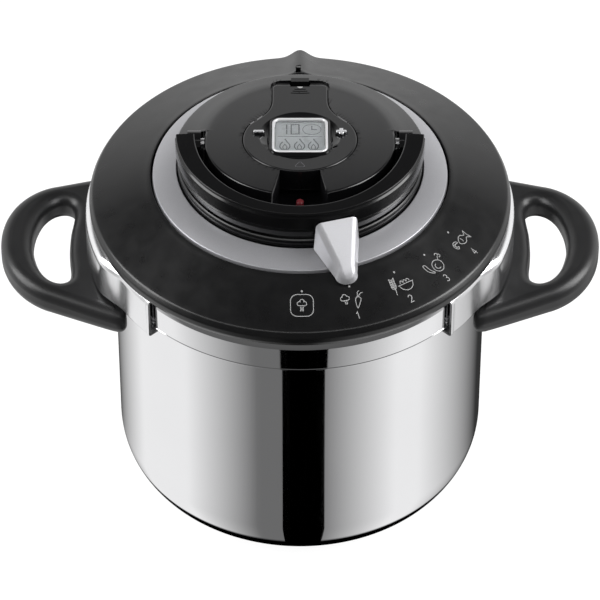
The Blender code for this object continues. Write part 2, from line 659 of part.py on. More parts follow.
def make_selector():
    """The grey ring that turns round the hub, and the lever that stands on it."""
    (r1, z1), (r0, z0) = RING_OUTER, RING_INNER
    ring = [(r0, z0), (r1 - 0.8, z1 + 0.3), (r1, z1 - 0.4)]
    ring += [(r1, z1 - RING_THICKNESS), (r0, z0 - RING_THICKNESS)]
    add("selector_ring", turned(ring), "silver")

    root, tip = 74.1, 99.5
    round_r = 5.6
    stations = [(root, 1.0), (80.0, 1.0), (88.0, 1.0), (tip - round_r, 1.0)]
    stations += [(tip - round_r + round_r * math.sin(a), math.cos(a)) for a in arc_angles(18, 84, 4)]
    rings = []
    for r, narrow in stations:
        along = (min(r, tip - round_r) - root) / (tip - round_r - root)
        half = (LEVER_ROOT + (round_r - LEVER_ROOT) * along) * narrow
        foot = 224.6 - (r - root) * 0.352
        top = 244.0 - (r - root) * 0.93 - (1.2 if narrow < 0.9 else 0.0)
        skirt, flat = half + 1.2 * narrow, half - 1.0 * narrow
        section = [(-skirt, foot), (skirt, foot), (half, top - 1.2), (flat, top)]
        section += [(-flat, top), (-half, top - 1.2)]
        rings.append([(x, -r, z) for x, z in section])
    lever = loft(rings)
    turn = Matrix.Rotation(math.radians(LEVER_ANGLE), 4, "Z")
    bmesh.ops.transform(lever, matrix=turn, verts=lever.verts)
    add("selector_lever", lever, "silver")


# ---- the timer ----


def make_timer():
    """The clip-on timer: case, display, two buttons, board, cell and cell cover."""
    case = add("timer_case", tilted(prism(timer_outline(), -TIMER_DEPTH, 0)), "gloss_black")
    x, y = LCD_HALF
    shift = LCD_BACK_SHIFT
    cut(case, tilted(prism(rounded_box(x + 0.3, y + 0.3, 5.3, shift), -9.0, 5)))
    cut(case, tilted(prism(rounded_box(30.0, 6.6, 3, 6.0), -8.5, -3.5)))
    cut(case, tilted(rod(13.2, -20, -9.6, 0, -8, sides=32)))
    cut(case, tilted(block((-5.8, 56.5, -20), (5.8, 62, 5))))

    bezel = add("timer_bezel", tilted(prism(rounded_box(x, y, 5.0, shift), -2.5, 1.4)), "chrome")
    cut(bezel, tilted(prism(rounded_box(x - 1.5, y - 1.5, 3.8, shift), -5, 5)))
    inner = rounded_box(x - 1.9, y - 1.9, 3.4, shift)
    add("timer_window", tilted(prism(inner, -1.0, 0.4)), "window")
    add("timer_display", tilted(prism(inner, -3.4, -1.4)), "lcd")
    add("timer_board", tilted(prism(rounded_box(x - 0.6, y - 0.6, 4.6, shift), -5.6, -4.0)), "board")
    add("timer_cell", tilted(rod(12.2, -12.6, -9.9, 0, -8, sides=32)), "steel")
    add("timer_cell_cover", tilted(rod(12.8, -TIMER_DEPTH, -12.9, 0, -8, sides=32)), "black")

    arm, bar, button_y = 3.1, 1.2, 6.0
    plus = [(bar, bar), (bar, arm), (-bar, arm), (-bar, bar), (-arm, bar), (-arm, -bar)]
    plus += [(-bar, -bar), (-bar, -arm), (bar, -arm), (bar, -bar), (arm, -bar), (arm, bar)]
    minus = [(arm, bar), (-arm, bar), (-arm, -bar), (arm, -bar)]
    for name, centre, shape in (("plus_button", 24.4, plus), ("minus_button", -24.4, minus)):
        hole = [(px * 1.0 + centre, py + button_y) for px, py in grown(shape, 0.35)]
        cut(case, tilted(prism(hole, -6.0, 5)))
        cap = [(px + centre, py + button_y) for px, py in shape]
        button = add(name, tilted(prism(cap, -5.0, 1.8)), "chrome")
        unite(button, tilted(rod(3.9, -5.6, -4.8, centre, button_y, sides=12)))


def grown(outline, amount):
    """An outline of right-angled corners, moved outwards by amount."""
    return [(x + math.copysign(amount, x), y + math.copysign(amount, y)) for x, y in outline]


def main():
    for old in list(bpy.data.objects):
        bpy.data.objects.remove(old)
    make_pan()
    for side in ("left", "right"):
        make_side_handle(side)
        make_jaw(side)
    make_lid_shell()
    make_cover()
    make_drive_plate()
    make_hub_base()
    make_crown()
    make_indicator()
    make_valves()
    make_valve_spring()
    make_cam()
    make_lock_handle()
    make_selector()
    make_timer()


main()
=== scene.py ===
"""The looks of the stovetop pressure cooker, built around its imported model. Sizes are in millimetres."""

import json
import math

import bmesh
import bpy
from mathutils import Matrix, Vector

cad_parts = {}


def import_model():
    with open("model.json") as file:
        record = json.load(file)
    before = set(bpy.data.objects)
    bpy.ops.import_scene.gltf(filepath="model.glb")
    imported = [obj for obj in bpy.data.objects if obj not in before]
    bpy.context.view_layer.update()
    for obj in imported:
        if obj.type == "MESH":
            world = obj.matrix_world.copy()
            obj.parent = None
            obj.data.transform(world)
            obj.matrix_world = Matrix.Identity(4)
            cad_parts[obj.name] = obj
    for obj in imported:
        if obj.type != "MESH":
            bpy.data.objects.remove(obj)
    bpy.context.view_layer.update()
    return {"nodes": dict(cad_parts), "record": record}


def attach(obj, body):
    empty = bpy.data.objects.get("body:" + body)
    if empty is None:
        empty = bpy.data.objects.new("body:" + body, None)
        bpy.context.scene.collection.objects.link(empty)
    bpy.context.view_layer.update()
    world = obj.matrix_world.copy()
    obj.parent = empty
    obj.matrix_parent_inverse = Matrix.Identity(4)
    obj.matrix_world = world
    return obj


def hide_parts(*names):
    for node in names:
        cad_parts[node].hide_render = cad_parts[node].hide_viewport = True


MM = 0.001
ROUND = 192  # facets of the large turned pieces
UP = Vector((0, 0, 1))

# Driving dimensions, the same as the model's. Heights are from a datum 9 mm above the floor.
FOOT_Z = -9.0
PAN_R = 112.0
PAN_CORNER = (24.0, 32.0)  # across and up
FLANGE_R = 115.2
BASE_R = 88.0
SKIRT_R = 119.4
SKIRT_FOOT_Z = 169.7
LID_TOP_Z = 191.5
JAW_R = 122.7
JAW_TOP_Z = 193.7
JAW_FOOT_Z = 164.5
COVER_R = 125.8
COVER_SEAT_R = 88.8
COVER_FOOT_Z = 194.5
RING_INNER, RING_OUTER = (73.2, 224.1), (88.0, 218.7)
CONE_SLOPE = 0.4
HUB_R = 72.5
CROWN_BACK_R = 75.2
CROWN_FRONT_R = 56.5
CROWN_CENTRE_Z = 244.3
CROWN_TILT = math.radians(7.0)
SHOULDER_Y = 12.8
GRIP_R, GRIP_TOP_Z, GRIP_FOOT_Z = 73.6, 250.4, 231.5
PIVOT_Y, PIVOT_Z = 4.0, 237.5
LEVER_ANGLE = 16.5
MARK_ANGLES = (0.6, 16.6, 33.2, 46.6, 60.6)  # steam release and the four programs
HANDLE_ROOT_R, HANDLE_REACH = 116.0, 180.3
BUTTON_X, BUTTON_Y = 24.4, 6.0
HANDLE_LOW, HANDLE_HIGH = (145.6, 0.055), (163.0, 0.095)  # height at the root and slope outwards


# ---- shape helpers ----


def circle_angles(count, shift=0.0):
    return [2 * math.pi * (i + shift) / count for i in range(count)]


def arc_angles(first, last, steps):
    """Angles in radians from first to last, both in degrees."""
    return [math.radians(first + (last - first) * i / steps) for i in range(steps + 1)]


def polar(radius, angle, height=0.0):
    return (radius * math.cos(angle), radius * math.sin(angle), height)


def arc(cx, cy, rx, ry, first, last, steps=14):
    """An elliptical arc about (cx, cy), from first to last in degrees."""
    return [(cx + rx * math.cos(a), cy + ry * math.sin(a)) for a in arc_angles(first, last, steps)]


def rounded(points, radii, steps=5, closed=True):
    """The outline through these corners, each rounded by its own radius or by one for all."""
    count = len(points)
    radii = radii if isinstance(radii, (list, tuple)) else [radii] * count
    made = []
    for i, (corner, radius) in enumerate(zip(points, radii)):
        here = Vector(corner)
        if radius <= 0 or (not closed and i in (0, count - 1)):
            made.append(tuple(here))
            continue
        before = (Vector(points[i - 1]) - here).normalized()
        after = (Vector(points[(i + 1) % count]) - here).normalized()
        half = before.angle(after) / 2
        reach = radius / math.tan(half)
        centre = here + (before + after).normalized() * radius / math.sin(half)
        start, end = here + before * reach - centre, here + after * reach - centre
        turn = start.angle_signed(end)
        for k in range(steps + 1):
            spun = start.copy()
            spun.rotate(Matrix.Rotation(-turn * k / steps, 2))
            made.append(tuple(centre + spun))
    return made


def smooth_closed(points, steps=6):
    """A Catmull-Rom curve round these points."""
    made = []
    count = len(points)
    for i in range(count):
        p0, p1, p2, p3 = (Vector(points[(i + k) % count]) for k in (-1, 0, 1, 2))
        for j in range(steps):
            t = j / steps
            a, b = 2 * p1 + (p2 - p0) * t, (2 * p0 - 5 * p1 + 4 * p2 - p3) * t * t
            made.append(tuple((a + b + (3 * p1 - p0 - 3 * p2 + p3) * t**3) / 2))
    return made


def bezier(p0, p1, p2, p3, steps):
    """Points of a cubic Bezier curve, without its last point."""
    made = []
    for i in range(steps):
        t = i / steps
        weights = ((1 - t) ** 3, 3 * t * (1 - t) ** 2, 3 * t * t * (1 - t), t**3)
        made.append(tuple(sum(w * p[n] for w, p in zip(weights, (p0, p1, p2, p3))) for n in (0, 1)))
    return made


def loft(rings, closed_path=False):
    """Joins rings of equal length with quads. Without a closed path, the first and last ring are capped."""
    bm = bmesh.new()
    made = [[bm.verts.new(p) for p in ring] for ring in rings]
    pairs = list(zip(made, made[1:]))
    if closed_path:
        pairs.append((made[-1], made[0]))
    for a, b in pairs:
        for i in range(len(a)):
            j = (i + 1) % len(a)
            bm.faces.new((a[i], a[j], b[j], b[i]))
    if not closed_path:
        bm.faces.new(made[0])
        bm.faces.new(made[-1])
    return bm


def turned(profile, angles=None, lift=None):
    """A solid turned about Z from a closed (radius, height) profile. lift moves a point of the result."""
    rings = [[Vector(polar(r, a, z)) for r, z in profile] for a in angles or circle_angles(ROUND)]
    if lift:
        rings = [[lift(p) for p in ring] for ring in rings]
    bm = loft(rings, closed_path=True)
    bmesh.ops.remove_doubles(bm, verts=bm.verts, dist=1e-4)
    return bm


def swept(profile, first, last, steps):
    """A solid turned about Z through part of a turn, in degrees."""
    return loft([[Vector(polar(r, a, z)) for r, z in profile] for a in arc_angles(first, last, steps)])


def prism(outline, low, high):
    return loft([[(x, y, z) for x, y in outline] for z in (low, high)])


def block(low, high):
    (x0, y0, z0), (x1, y1, z1) = low, high
    return prism([(x0, y0), (x1, y0), (x1, y1), (x0, y1)], z0, z1)


def rod(radius, low, high, x=0.0, y=0.0, sides=48):
    spots = [polar(radius, a) for a in circle_angles(sides, 0.5)]
    return prism([(x + dx, y + dy) for dx, dy, _ in spots], low, high)


def rounded_box(half_x, half_y, radius, centre=(0.0, 0.0), steps=8):
    corners = [(half_x, half_y), (-half_x, half_y), (-half_x, -half_y), (half_x, -half_y)]
    return rounded([(x + centre[0], y + centre[1]) for x, y in corners], radius, steps)


def tilted(bm):
    """Moves a piece from the hub face's own flat frame, with the face at height 0, onto the tilted crown."""
    place = Matrix.Translation((0, 0, CROWN_CENTRE_Z)) @ Matrix.Rotation(-CROWN_TILT, 4, "X")
    bmesh.ops.transform(bm, matrix=place, verts=bm.verts)
    return bm


def on_side(side, bm):
    """A piece drawn on the right, which is mirrored for the left side."""
    if side == "left":
        bmesh.ops.scale(bm, vec=(-1, 1, 1), verts=bm.verts)
    return bm


# ---- pieces ----


def solid(name, bm, material=None, sharp=32):
    """Turns a bmesh in datum millimetres into a named object in metres."""
    bmesh.ops.recalc_face_normals(bm, faces=bm.faces)
    bmesh.ops.translate(bm, vec=(0, 0, -FOOT_Z), verts=bm.verts)
    bmesh.ops.scale(bm, vec=(MM, MM, MM), verts=bm.verts)
    mesh = bpy.data.meshes.new(name)
    bm.to_mesh(mesh)
    bm.free()
    mesh.shade_smooth()
    mesh.set_sharp_from_angle(angle=math.radians(sharp))
    obj = bpy.data.objects.new(name, mesh)
    if material:
        obj.data.materials.append(material)
    bpy.context.scene.collection.objects.link(obj)
    return obj


def settle(obj):
    """Makes an object's modifiers part of its mesh."""
    bpy.context.view_layer.update()
    mesh = bpy.data.meshes.new_from_object(obj.evaluated_get(bpy.context.evaluated_depsgraph_get()))
    obj.modifiers.clear()
    old, obj.data = obj.data, mesh
    bpy.data.meshes.remove(old)
    return obj


def boolean(obj, bm, operation="DIFFERENCE"):
    """Cuts a shape away from an object, or adds it, at once."""
    tool = solid("tool", bm)
    step = obj.modifiers.new("shape", "BOOLEAN")
    step.operation, step.object, step.solver = operation, tool, "EXACT"
    settle(obj)
    spent = tool.data
    bpy.data.objects.remove(tool)
    bpy.data.meshes.remove(spent)
    return obj


def soften(obj, width, segments=3, angle=32, even=True):
    """Rounds the sharp edges of an object, in millimetres. even keeps the shading of flat faces flat."""
    bevel = obj.modifiers.new("edges", "BEVEL")
    bevel.width = width * MM
    bevel.segments = segments
    bevel.limit_method = "ANGLE"
    bevel.angle_limit = math.radians(angle)
    bevel.use_clamp_overlap = True
    if even:
        obj.modifiers.new("normals", "WEIGHTED_NORMAL").keep_sharp = True
    return obj


def fit(obj, body, slot, *nodes):
    """Makes a piece ride on its body and stand for its nodes of the model."""
    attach(obj, body)
    if nodes:
        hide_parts(*nodes)
    return obj


# ---- materials ----


def new_material(name, colour, roughness, metallic=0.0, **sockets):
    made = bpy.data.materials.new(name)
    made.use_nodes = True
    shader = made.node_tree.nodes["Principled BSDF"]
    shader.inputs["Base Color"].default_value = (*colour, 1)
    shader.inputs["Roughness"].default_value = roughness
    shader.inputs["Metallic"].default_value = metallic
    for socket, value in sockets.items():
        shader.inputs[socket.replace("_", " ")].default_value = value
    return made


def object_point(tree):
    return tree.nodes.new("ShaderNodeTexCoord").outputs["Object"]


def noise(tree, scale, detail=4.0, stretch=None):
    """A noise pattern in the piece's own space. stretch scales the space along each axis first."""
    node = tree.nodes.new("ShaderNodeTexNoise")
    node.inputs["Scale"].default_value = scale
    node.inputs["Detail"].default_value = detail
    point = object_point(tree)
    if stretch:
        mapping = tree.nodes.new("ShaderNodeMapping")
        mapping.inputs["Scale"].default_value = stretch
        tree.links.new(point, mapping.inputs["Vector"])
        point = mapping.outputs["Vector"]
    tree.links.new(point, node.inputs["Vector"])
    return node.outputs["Fac"]


def spread(tree, value, low, high, start=0.3, end=0.7):
    """Maps a pattern onto the range from low to high."""
    node = tree.nodes.new("ShaderNodeMapRange")
    node.inputs["From Min"].default_value = start
    node.inputs["From Max"].default_value = end
    node.inputs["To Min"].default_value = low
    node.inputs["To Max"].default_value = high
    tree.links.new(value, node.inputs["Value"])
    return node.outputs["Result"]


def vary(material, socket, value):
    tree = material.node_tree
    tree.links.new(value, tree.nodes["Principled BSDF"].inputs[socket])


def tint(material, value, first, second):
    """Mixes the base colour from first to second by a pattern."""
    tree = material.node_tree
    mix = tree.nodes.new("ShaderNodeMix")
    mix.data_type = "RGBA"
    mix.inputs["A"].default_value = (*first, 1)
    mix.inputs["B"].default_value = (*second, 1)
    tree.links.new(value, mix.inputs["Factor"])
    vary(material, "Base Color", mix.outputs["Result"])


def emboss(material, value, depth, strength=1.0):
    """Adds relief from a pattern, depth in millimetres."""
    tree = material.node_tree
    bump = tree.nodes.new("ShaderNodeBump")
    bump.inputs["Distance"].default_value = depth * MM
    bump.inputs["Strength"].default_value = strength
    tree.links.new(value, bump.inputs["Height"])
    vary(material, "Normal", bump.outputs["Normal"])


def polished_steel(name, haze, swing, relief):
    """Polished steel with faint upright draw marks, which change its haze by swing either way."""
    made = new_material(name, (0.86, 0.86, 0.87), haze, 1.0)
    tree = made.node_tree
    marks = noise(tree, 60, 3, (6, 6, 0.15))
    vary(made, "Roughness", spread(tree, marks, haze - swing, haze + swing))
    tint(made, noise(tree, 14, 2), (0.84, 0.84, 0.85), (0.89, 0.89, 0.9))
    emboss(made, noise(tree, 45, 2, (3, 3, 0.1)), relief, 0.5)
    return made


def satin_steel():
    made = new_material("satin_steel", (0.6, 0.6, 0.61), 0.3, 1.0)
    tree = made.node_tree
    vary(made, "Roughness", spread(tree, noise(tree, 160, 5), 0.24, 0.42))
    tint(made, noise(tree, 40, 3), (0.52, 0.52, 0.53), (0.64, 0.64, 0.65))
    return made


def moulded(name, colour, roughness, grain=1400.0, depth=0.01, gloss=0.5):
    """Moulded plastic with a fine grain, and slight changes of sheen and shade."""
    made = new_material(name, colour, roughness, **{"Specular_IOR_Level": gloss})
    tree = made.node_tree
    vary(made, "Roughness", spread(tree, noise(tree, 90, 5), roughness * 0.88, roughness * 1.14))
    light = tuple(min(1.0, c * 1.16) for c in colour)
    dark = tuple(c * 0.86 for c in colour)
    tint(made, noise(tree, 35, 3), dark, light)
    emboss(made, noise(tree, grain, 2), depth)
    return made


def metallic_paint(name, colour):
    """Silver grey plastic with a fine metal flake."""
    made = new_material(name, colour, 0.36, 0.55, Coat_Weight=0.25, Coat_Roughness=0.25)
    tree = made.node_tree
    flake = noise(tree, 2600, 1)
    tint(made, flake, tuple(c * 0.86 for c in colour), tuple(c * 1.16 for c in colour))
    vary(made, "Roughness", spread(tree, flake, 0.3, 0.44))
    emboss(made, flake, 0.006, 0.6)
    return made


def plain_gloss(name, colour, roughness, metallic=0.0, **sockets):
    """A smooth finish with faint smears in its gloss."""
    made = new_material(name, colour, roughness, metallic, **sockets)
    tree = made.node_tree
    vary(made, "Roughness", spread(tree, noise(tree, 70, 4), roughness * 0.75, roughness * 1.3))
    tint(made, noise(tree, 30, 2), tuple(c * 0.93 for c in colour), tuple(min(1, c * 1.05) for c in colour))
    return made


def make_materials():
    return {
        "steel": polished_steel("polished_steel", 0.057, 0.027, 0.006),
        "soft_steel": polished_steel("soft_steel", 0.21, 0.015, 0.001),
        "plain_steel": satin_steel(),
        "cover": moulded("cover_black", (0.003, 0.003, 0.0033), 0.3, 1500, 0.01),
        "gloss": moulded("gloss_black", (0.003, 0.003, 0.0033), 0.17, 900, 0.002, 0.4),
        "face": moulded("hub_black", (0.0035, 0.0035, 0.004), 0.17, 1500, 0.003),
        "bakelite": moulded("bakelite", (0.014, 0.014, 0.0145), 0.36, 1100, 0.01),
        "case": moulded("timer_black", (0.0035, 0.0035, 0.004), 0.13, 1500, 0.002),
        "silver": metallic_paint("silver_grey", (0.42, 0.42, 0.44)),
        "lever": metallic_paint("lever_grey", (0.5, 0.5, 0.52)),
        "bezel": plain_gloss("bezel_grey", (0.66, 0.66, 0.67), 0.34, 0.35),
        "chrome": plain_gloss("chrome_trim", (0.82, 0.82, 0.84), 0.12, 1.0),
        "lcd": plain_gloss("lcd_grey", (0.54, 0.565, 0.575), 0.3),
        "lcd_ink": plain_gloss("lcd_ink", (0.1, 0.11, 0.12), 0.35),
        "print": plain_gloss("white_print", (0.36, 0.36, 0.36), 0.5),
        "dim_print": plain_gloss("dim_print", (0.06, 0.06, 0.065), 0.4),
        "red": plain_gloss("red_plastic", (0.13, 0.012, 0.017), 0.3),
        "rubber": moulded("seal_rubber", (0.5, 0.5, 0.48), 0.6, 600, 0.02),
        "board": plain_gloss("board_green", (0.03, 0.16, 0.07), 0.5),
        "window": plain_gloss(
            "clear_window", (0.95, 0.97, 0.98), 0.03, 0.0, Transmission_Weight=1.0, IOR=1.45
        ),
    }


# ---- pan and side handles ----


def make_pan(m):
    (across, up), wall, floor = PAN_CORNER, 1.2, FOOT_Z + 6.3
    centre = (PAN_R - across, floor + up)
    outside = arc(*centre, across, up, -90, 0, 24)
    inside = arc(*centre, across - wall, up - wall, 0, -90, 16)
    lip = FLANGE_R - wall
    rim = [(PAN_R, 171.5), (FLANGE_R, 175.5), (FLANGE_R, 184.0)]
    rim += [(lip, 184.0), (lip, 176.0), (PAN_R - wall, 172.0)]
    profile = [(0, floor)] + outside + rounded(rim, [3, 3, 0.5, 0.5, 2, 3], 4, closed=False)
    profile += inside + [(0, floor + wall)]
    fit(solid("pan", turned(profile), m["steel"]), "pan", "polished_steel", "pan_body")
    low, high = FOOT_Z, FOOT_Z + 6.0
    base = rounded([(0, low), (BASE_R, low), (BASE_R, high), (0, high)], [0, 2.2, 0.8, 0], 6)
    fit(solid("pan_base", turned(base), m["steel"]), "pan", "polished_steel", "base_plate")


def handle_outline():
    root = [polar(HANDLE_ROOT_R, a)[:2] for a in arc_angles(27, -27, 34)]
    near = [(102.0, -67.5)] + bezier((112, -64.4), (124, -60.2), (137, -55.0), (149, -50.4), 10)
    end = bezier((149, -50.4), (163, -46.0), (HANDLE_REACH, -29.2), (HANDLE_REACH, 0), 22)
    far = [(x, -y) for x, y in reversed(near + end)]
    return root + near + end + [(HANDLE_REACH, 0)] + far


def handle_hole():
    half = [(138.6, 10), (137.2, 24), (138.2, 32.5), (143, 36), (149.5, 33.5), (155.5, 25.5), (159.5, 13)]
    return smooth_closed([(138.9, 0)] + half + [(160.8, 0)] + [(x, -y) for x, y in reversed(half)], 6)


def make_side_handles(m):
    for side in ("left", "right"):
        faces = (HANDLE_LOW, HANDLE_HIGH)
        body = loft(
            [[(x, y, z + slope * (x - HANDLE_ROOT_R)) for x, y in handle_outline()] for z, slope in faces]
        )
        handle = solid(f"{side}_grip", on_side(side, body), m["bakelite"])
        boolean(handle, on_side(side, prism(handle_hole(), 140.0, 175.0)))
        soften(handle, 7.2, 8, 50).modifiers["edges"].use_clamp_overlap = False
        fit(handle, "pan", "bakelite", f"{side}_handle")


# ---- lid ----


def make_lid(m):
    inner = SKIRT_R - 1.2
    bead = SKIRT_R + 0.22
    profile = [(0, LID_TOP_Z), (SKIRT_R, LID_TOP_Z), (SKIRT_R, SKIRT_FOOT_Z + 1.2)]
    profile += [(bead, SKIRT_FOOT_Z + 0.9), (bead, SKIRT_FOOT_Z), (inner, SKIRT_FOOT_Z)]
    profile += [(inner, LID_TOP_Z - 1.2), (0, LID_TOP_Z - 1.2)]
    shell = rounded(profile, [0, 6, 0.2, 0.2, 0.4, 0.45, 4.8, 0], 8)
    fit(solid("lid_steel", turned(shell), m["steel"]), "lid", "polished_steel", "lid_shell")


def cone_z(radius):
    return RING_OUTER[1] - (radius - RING_OUTER[0]) * CONE_SLOPE


def hump(p):
    """Raises the cover's top face in a bell shape over the steam outlet at the back."""
    radius = math.hypot(p.x, p.y)
    if p.y < 0 or radius < 88.9 or p.z < cone_z(radius) - 1.8 - 6.0 * max(0.0, radius - 123.0):
        return p
    fade = min(1.0, max(0.0, (p.z - COVER_FOOT_Z - 2.0) / 6.0))
    rise = 3.0 + 3.2 * (radius - COVER_SEAT_R) / (COVER_R - COVER_SEAT_R)
    return p + Vector((0, 0, rise * fade * math.exp(-((p.x / 6.5) ** 2))))


def make_cover(m):
    edge = (123.9, cone_z(123.9))
    profile = [(COVER_SEAT_R, 215.0), (COVER_SEAT_R, 218.55), edge]
    profile += [(COVER_R, edge[1] - 3.2), (COVER_R - 0.3, 197.5)]
    profile += [(COVER_R - 1.8, COVER_FOOT_Z), (122.6, COVER_FOOT_Z), (121.0, 203.0), (COVER_SEAT_R, 212.6)]
    profile += [(74.8, 217.6), (74.8, 220.2)]
    shaped = rounded(profile, [0, 0.5, 2.4, 3.0, 3.0, 0.6, 0.4, 0, 0, 0, 0], 6)
    first = next(i for i, p in enumerate(shaped) if p[0] > 89.5)
    along = [COVER_SEAT_R + (edge[0] - COVER_SEAT_R) * t / 12 for t in range(1, 12)]
    shaped[first:first] = [(r, cone_z(r)) for r in along if r < shaped[first][0] - 0.5]
    angles = sorted(circle_angles(ROUND) + [math.radians(90 + k * 0.62 + 0.2) for k in range(-14, 14)])
    cover = solid("cover", turned(shaped, angles, hump), m["cover"])
    slot = [(-4.0, 85.6), (1.6, 85.6), (1.6, 87.0), (0.2, 87.0)]
    slot += [(0.2, 95.0), (-2.9, 95.0), (-2.9, 87.0), (-4.0, 87.0)]
    boolean(cover, prism([(x + 0.3, y + 3.6) for x, y in slot], 212, 240))
    fit(cover, "lid", "black_satin", "lid_cover")


# ---- clamp jaws ----


def jaw_section(angle):
    """The jaw's C-shaped section at an angle from its middle. The middle stretch bulges outwards."""
    lean = abs(math.degrees(angle))
    share = min(1.0, max(0.0, (32.0 - lean) / 11.0))
    r, w, top, foot = JAW_R + 5.8 * share * share * (3 - 2 * share), 1.5, JAW_TOP_Z, JAW_FOOT_Z
    r += 0.5 * min(1.0, max(0.0, (lean - 42.8) / 0.4))
    corners = [(103.0, top), (r, top), (r, foot), (115.6, foot), (115.6, foot + w), (r - w, foot + w)]
    corners += [(r - w, top - w), (103.0, top - w)]
    return rounded(corners, [0.5, 5.2, 2.0, 0.5, 0.5, 0.8, 3.7, 0.5], 6)


def make_jaws(m):
    stops = sorted([k - 44 for k in range(89)] + [-43.2, -42.8, 42.8, 43.2])
    for side in ("left", "right"):
        rings = [[polar(r, math.radians(a), z) for r, z in jaw_section(math.radians(a))] for a in stops]
        jaw = solid(f"{side}_clamp_jaw", on_side(side, loft(rings)), m["soft_steel"])
        for y in (-7.0, 7.0):
            boolean(jaw, on_side(side, rod(2.2, JAW_TOP_Z - 5, JAW_TOP_Z + 5, 107.5, y)))
        soften(jaw, 0.45, 3, 50)
        fit(jaw, f"{side}_clamp", "polished_steel", f"{side}_jaw")


# ---- hub ----


def make_hub(m):
    foot, floor, top, wall = LID_TOP_Z + 0.3, 203.0, 229.2, HUB_R - 3.0
    profile = [(4.0, foot), (14.0, foot), (14.0, floor), (HUB_R - 2.0, floor)]
    profile += [(HUB_R, floor + 2.0), (HUB_R, 211.5), (80.0, 211.5), (80.0, 214.2), (HUB_R, 216.8)]
    profile += [(HUB_R, 224.8), (72.0, 225.0), (72.0, 225.5), (HUB_R, 225.7)]
    profile += [(HUB_R, 226.9), (71.9, 227.1), (71.9, 227.5), (HUB_R, 227.7)]
    profile += [(HUB_R - 0.2, top - 0.5), (HUB_R - 0.8, top)]
    profile += [(wall, top), (wall, floor + 2.5), (12.0, floor + 2.5), (12.0, 211.0), (4.0, 211.0)]
    hub = solid("hub_wall", turned(profile), m["cover"])
    for angle in (45, 165, 315):
        x, y, _ = polar(77.0, math.radians(angle))
        boolean(hub, rod(1.5, 205, 225, x, y, sides=24))
    for x0, x1 in ((-66.0, -51.0), (51.0, 66.0)):
        boolean(hub, block((x0, -3.0, 195), (x1, 3.0, 206)))
    for (x, y), r in (((0.0, 40.0), 8.6), ((0.0, -50.0), 4.9), ((30.0, 49.0), 7.6)):
        boolean(hub, rod(r, 195, 208, x, y))
    boolean(hub, block((-5, 60, 206.5), (5, 90, 210.5)))
    window = [(66, 218.4), (77, 218.4), (77, 220.8), (66, 220.8)]
    boolean(hub, swept(window, 264 - 17.5, 276 + 45.5, 40))
    fit(hub, "lid", "black_satin", "hub_base")


def crown_height(x, y):
    """Height of the crown's tilted top, which is slightly domed."""
    dome = 1.2 * max(0.0, 1 - (x * x + y * y) / 58.0**2)
    return CROWN_CENTRE_Z - 1.2 - y * math.tan(CROWN_TILT) + dome


def crown_rim(angle):
    """Radius at which the crown's tilted top gives way to its sloping shoulder."""
    return CROWN_FRONT_R + 5.3 * max(0.0, math.sin(angle)) ** 2


def crown_surface(x, y):
    """Height of the crown's top or shoulder."""
    radius, angle = math.hypot(x, y), math.atan2(y, x)
    rim = crown_rim(angle)
    if radius <= rim:
        return crown_height(x, y)
    top = crown_height(rim * math.cos(angle), rim * math.sin(angle))
    return top + (231.5 - top) * (radius - rim) / (CROWN_BACK_R - rim)


def crown_outline():
    """Plan of the crown as (point, inward normal, angle of the matching point on the rim)."""
    round_r, fillet = 2.5, 4.0
    corner_y = SHOULDER_Y + round_r
    corner_x = math.sqrt((CROWN_BACK_R - round_r) ** 2 - corner_y**2)
    lean = math.degrees(math.atan2(corner_y, corner_x))
    fillet_y = SHOULDER_Y - fillet
    fillet_x = math.sqrt((CROWN_FRONT_R + fillet) ** 2 - fillet_y**2)
    low = math.degrees(math.atan2(fillet_y, fillet_x))
    half = [(polar(CROWN_BACK_R, a)[:2], a + math.pi, a) for a in arc_angles(90, lean, 64)]
    corner = arc_angles(lean, -90, 8)[1:]
    turn = arc_angles(90, 180 + low, 10)
    middle = [
        ((corner_x + round_r * math.cos(a), corner_y + round_r * math.sin(a)), a + math.pi) for a in corner
    ]
    middle += [((corner_x + (fillet_x - corner_x) * k / 6, SHOULDER_Y), math.pi / 2) for k in range(1, 6)]
    middle += [((fillet_x + fillet * math.cos(a), fillet_y + fillet * math.sin(a)), a) for a in turn]
    for k, (point, normal) in enumerate(middle, 1):
        half.append((point, normal, math.radians(lean + (low - lean) * k / len(middle))))
    half += [(polar(CROWN_FRONT_R, a)[:2], a + math.pi, a) for a in arc_angles(low, -90, 60)[1:]]
    left = [((-x, y), math.pi - normal, math.pi - a) for (x, y), normal, a in reversed(half[1:-1])]
    return half + left


def crown_block():
    """The crown before it is cut, with a round edge along its whole outline."""
    edge = 1.3
    outline = crown_outline()
    rings = [[(*point, 224.0) for point, _, _ in outline]]
    for turn in arc_angles(0, 90, 4):
        inset, drop = edge * (1 - math.cos(turn)), edge * (1 - math.sin(turn))
        ring = []
        for (x, y), normal, _ in outline:
            u, v = x + inset * math.cos(normal), y + inset * math.sin(normal)
            ring.append((u, v, crown_surface(u, v) - drop))
        rings.append(ring)
    last = rings[-1]
    for share in (0.33, 0.66, 1.0):
        ring = []
        for (u, v, _), (_, _, angle) in zip(last, outline):
            inner = min(crown_rim(angle) + 0.35, 54.8 + 40.0 * max(0.0, math.sin(angle) - 0.15))
            x, y = inner * math.cos(angle), inner * math.sin(angle)
            x, y = u + (x - u) * share, v + (y - v) * share
            ring.append((x, y, crown_surface(x, y)))
        rings.append(ring)
    for share in (0.955, 0.9, 0.8, 0.65, 0.5, 0.35, 0.2, 0.05):
        ring = []
        for _, _, angle in outline:
            x, y, _ = polar(share * crown_rim(angle), angle)
            ring.append((x, y, crown_height(x, y)))
        rings.append(ring)
    return loft(rings)


